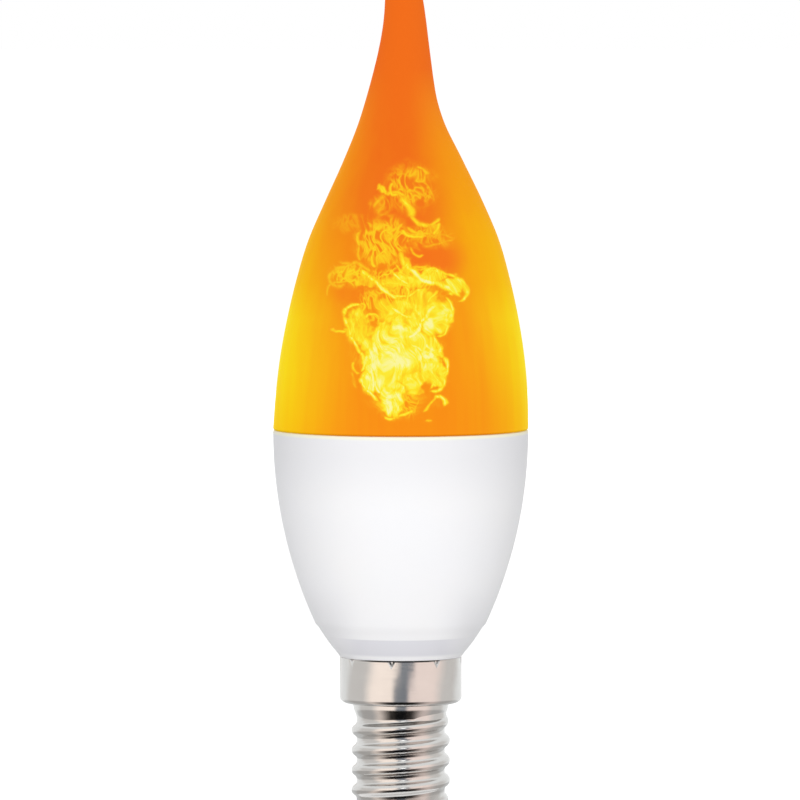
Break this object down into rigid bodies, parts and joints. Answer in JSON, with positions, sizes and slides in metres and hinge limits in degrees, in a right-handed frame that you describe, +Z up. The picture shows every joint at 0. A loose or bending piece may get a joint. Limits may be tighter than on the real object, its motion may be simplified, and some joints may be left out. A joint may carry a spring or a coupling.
{
  "type": "candle bulb",
  "caption": "Candle lamp bulb with a bent flame-shaped diffuser tail, a white tapered housing and a small nickel screw cap.",
  "frame": {"origin": "centre of the end contact's outer face, at the bottom of the cap", "axes": "+Z up the bulb's axis from the end contact to the tail, -Y towards the front that is shown, +X to the side that the tail first bends to"},
  "size_m": [0.036, 0.036, 0.125],
  "materials": {
    "nickel_shell": "bright nickel plate on brass sheet",
    "cap_insulator": "black, semi-gloss",
    "contact_plate": "bright nickel plate",
    "contact_nail": "bright",
    "housing": "white moulded, satin",
    "diffuser": "milky moulded, lit orange and yellow from inside",
    "core": "white moulded",
    "flex_board": "white solder mask",
    "lamps": "yellow phosphor in a white frame",
    "top_board": "white solder mask",
    "driver_board": "green solder mask",
    "capacitor": "black sleeve",
    "ferrite": "matt dark grey",
    "winding": "varnished copper wire",
    "resistor": "grey-green coating",
    "chips": "black moulded",
    "live_lead": "red insulation",
    "return_lead": "black insulation",
    "positive_lead": "red insulation",
    "negative_lead": "black insulation"
  },
  "bodies": {
    "root": {"screw_shell": "nickel_shell", "insulator": "cap_insulator", "contact_eyelet": "contact_plate", "contact_nail": "contact_nail", "housing": "housing", "diffuser": "diffuser", "flame_core": "core", "flex_board": "flex_board", "led_row_1": "lamps", "led_row_2": "lamps", "led_row_3": "lamps", "led_row_4": "lamps", "led_row_5": "lamps", "top_board": "top_board", "top_leds": "lamps", "driver_board": "driver_board", "capacitor": "capacitor", "choke_core": "ferrite", "choke_winding": "winding", "fusible_resistor": "resistor", "bridge_rectifier": "chips", "driver_chip": "chips", "flame_chip": "chips", "live_lead": "live_lead", "return_lead": "return_lead", "supply_lead_positive": "positive_lead", "supply_lead_negative": "negative_lead"}
  },
  "joints": []
}
